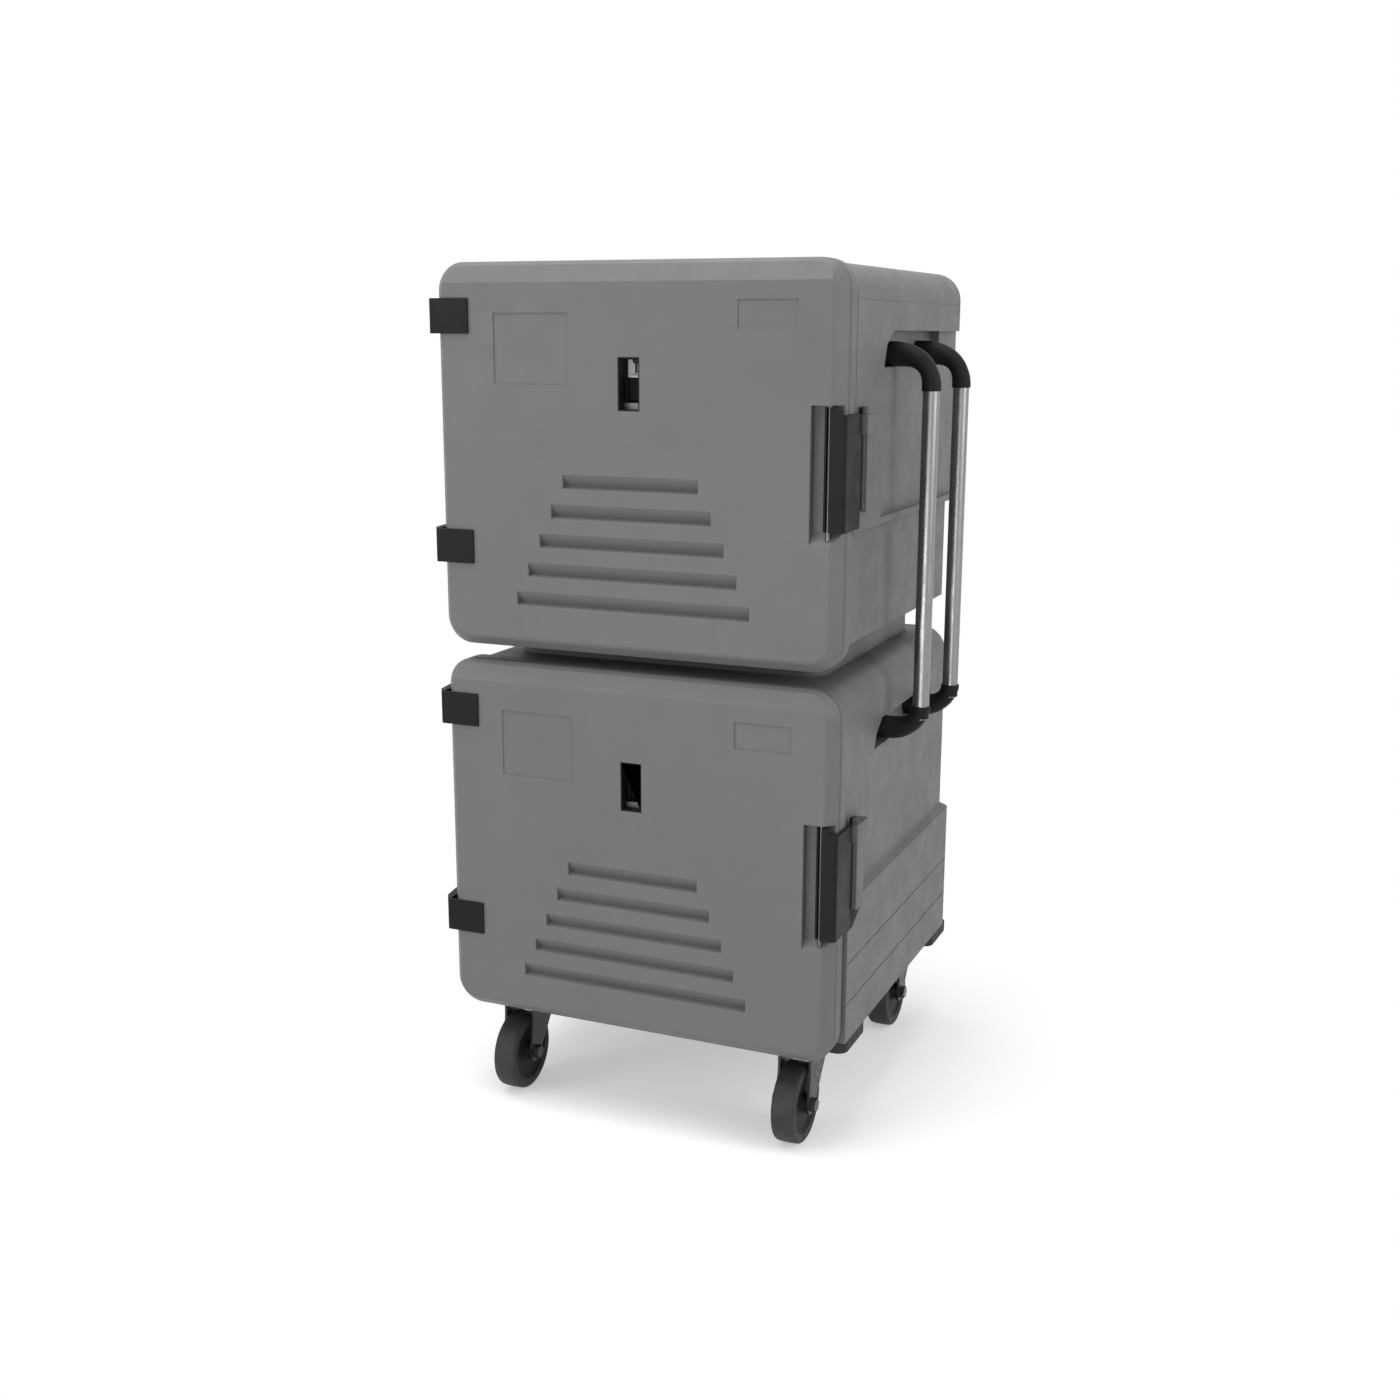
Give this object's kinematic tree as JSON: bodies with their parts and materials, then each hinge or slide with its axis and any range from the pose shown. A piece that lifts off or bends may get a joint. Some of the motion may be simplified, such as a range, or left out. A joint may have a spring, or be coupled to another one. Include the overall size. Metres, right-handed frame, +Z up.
{
  "type": "enclosed meal tray cart",
  "caption": "Enclosed meal tray cart: two stacked insulated boxes with side-hinged doors, latches, door vents, tube push handles and swivel casters.",
  "frame": {"origin": "middle of the cart's overall footprint, on the floor", "axes": "+X to the right, +Y to the back (doors face -Y), +Z up"},
  "size_m": [0.72, 0.6514, 1.318],
  "materials": {
    "black_plastic": "satin glass-filled nylon",
    "black_steel": "satin black coating",
    "bright_steel": "satin",
    "dark_fasteners": "black zinc",
    "foam": "rigid polyurethane foam",
    "frame_grey": "satin moulded polyethylene, fine grain",
    "keeper_grey": "satin moulded plastic",
    "liner_grey": "satin, smooth",
    "seal_rubber": "matte silicone",
    "shell_grey": "satin moulded polyethylene, fine grain",
    "skid_rubber": "matte",
    "slider_white": "satin",
    "tube_aluminium": "anodised, drawn along its length",
    "wheel_rubber": "matte"
  },
  "bodies": {
    "cart": {"caster_bolts": "dark_fasteners", "caster_plates": "black_steel", "corner_skids": "skid_rubber", "handle_back_tube": "tube_aluminium", "handle_elbows_lower": "black_plastic", "handle_elbows_upper": "black_plastic", "handle_front_tube": "tube_aluminium", "lower_body_foam": "foam", "lower_body_liner": "liner_grey", "lower_body_shell": "shell_grey", "lower_hinge_leaves": "black_plastic", "lower_hinge_pins": "bright_steel", "lower_hinge_screws": "dark_fasteners", "lower_keeper_block": "keeper_grey", "lower_keeper_rod": "black_steel", "lower_tray_rack_left": "liner_grey", "lower_tray_rack_right": "liner_grey", "upper_body_foam": "foam", "upper_body_liner": "liner_grey", "upper_body_shell": "shell_grey", "upper_hinge_leaves": "black_plastic", "upper_hinge_pins": "bright_steel", "upper_hinge_screws": "dark_fasteners", "upper_keeper_block": "keeper_grey", "upper_keeper_rod": "black_steel", "upper_tray_rack_left": "liner_grey", "upper_tray_rack_right": "liner_grey"},
    "lower_door": {"lower_door_shell": "shell_grey", "lower_door_frame": "frame_grey", "lower_door_foam": "foam", "lower_door_gasket": "seal_rubber", "lower_vent_housing": "black_plastic", "lower_vent_clip": "bright_steel", "lower_latch_pin": "bright_steel", "lower_hinge_straps": "black_plastic"},
    "lower_latch": {"lower_latch_handle": "black_plastic"},
    "lower_vent_shutter": {"lower_vent_slider": "slider_white"},
    "upper_door": {"upper_door_shell": "shell_grey", "upper_door_frame": "frame_grey", "upper_door_foam": "foam", "upper_door_gasket": "seal_rubber", "upper_vent_housing": "black_plastic", "upper_vent_clip": "bright_steel", "upper_latch_pin": "bright_steel", "upper_hinge_straps": "black_plastic"},
    "upper_latch": {"upper_latch_handle": "black_plastic"},
    "upper_vent_shutter": {"upper_vent_slider": "slider_white"},
    "caster_front_left": {"caster_fork_front_left": "black_steel", "caster_axle_front_left": "dark_fasteners"},
    "wheel_front_left": {"caster_wheel_front_left": "wheel_rubber"},
    "caster_front_right": {"caster_fork_front_right": "black_steel", "caster_axle_front_right": "dark_fasteners"},
    "wheel_front_right": {"caster_wheel_front_right": "wheel_rubber"},
    "caster_rear_left": {"caster_fork_rear_left": "black_steel", "caster_axle_rear_left": "dark_fasteners"},
    "wheel_rear_left": {"caster_wheel_rear_left": "wheel_rubber"},
    "caster_rear_right": {"caster_fork_rear_right": "black_steel", "caster_axle_rear_right": "dark_fasteners"},
    "wheel_rear_right": {"caster_wheel_rear_right": "wheel_rubber"}
  },
  "joints": [
    {"name": "lower_door_hinge", "type": "hinge", "parent": "cart", "child": "lower_door", "pos_m": [-0.3515, -0.26425, 0.445], "axis": [0, 0, -1], "range_deg": [0, 180]},
    {"name": "lower_latch_turn", "type": "hinge", "parent": "lower_door", "child": "lower_latch", "pos_m": [0.2755, -0.31525, 0.4465], "axis": [0, 0, -1], "range_deg": [0, 100]},
    {"name": "lower_vent_slide", "type": "slide", "parent": "lower_door", "child": "lower_vent_shutter", "axis": [0, 0, 1], "range_m": [-0.028, 0]},
    {"name": "upper_door_hinge", "type": "hinge", "parent": "cart", "child": "upper_door", "pos_m": [-0.3515, -0.26425, 1.035], "axis": [0, 0, -1], "range_deg": [0, 180]},
    {"name": "upper_latch_turn", "type": "hinge", "parent": "upper_door", "child": "upper_latch", "pos_m": [0.2755, -0.31525, 1.0365], "axis": [0, 0, -1], "range_deg": [0, 100]},
    {"name": "upper_vent_slide", "type": "slide", "parent": "upper_door", "child": "upper_vent_shutter", "axis": [0, 0, 1], "range_m": [-0.028, 0]},
    {"name": "swivel_front_left", "type": "hinge", "parent": "cart", "child": "caster_front_left", "pos_m": [-0.2625, -0.20925, 0.15], "axis": [0, 0, 1], "continuous": true},
    {"name": "roll_front_left", "type": "hinge", "parent": "caster_front_left", "child": "wheel_front_left", "pos_m": [-0.2625, -0.24325, 0.0625], "axis": [1, 0, 0], "continuous": true},
    {"name": "swivel_front_right", "type": "hinge", "parent": "cart", "child": "caster_front_right", "pos_m": [0.2175, -0.20925, 0.15], "axis": [0, 0, 1], "continuous": true},
    {"name": "roll_front_right", "type": "hinge", "parent": "caster_front_right", "child": "wheel_front_right", "pos_m": [0.2175, -0.24325, 0.0625], "axis": [1, 0, 0], "continuous": true},
    {"name": "swivel_rear_left", "type": "hinge", "parent": "cart", "child": "caster_rear_left", "pos_m": [-0.2625, 0.27275, 0.15], "axis": [0, 0, 1], "continuous": true},
    {"name": "roll_rear_left", "type": "hinge", "parent": "caster_rear_left", "child": "wheel_rear_left", "pos_m": [-0.2625, 0.23875, 0.0625], "axis": [1, 0, 0], "continuous": true},
    {"name": "swivel_rear_right", "type": "hinge", "parent": "cart", "child": "caster_rear_right", "pos_m": [0.2175, 0.27275, 0.15], "axis": [0, 0, 1], "continuous": true},
    {"name": "roll_rear_right", "type": "hinge", "parent": "caster_rear_right", "child": "wheel_rear_right", "pos_m": [0.2175, 0.23875, 0.0625], "axis": [1, 0, 0], "continuous": true}
  ]
}
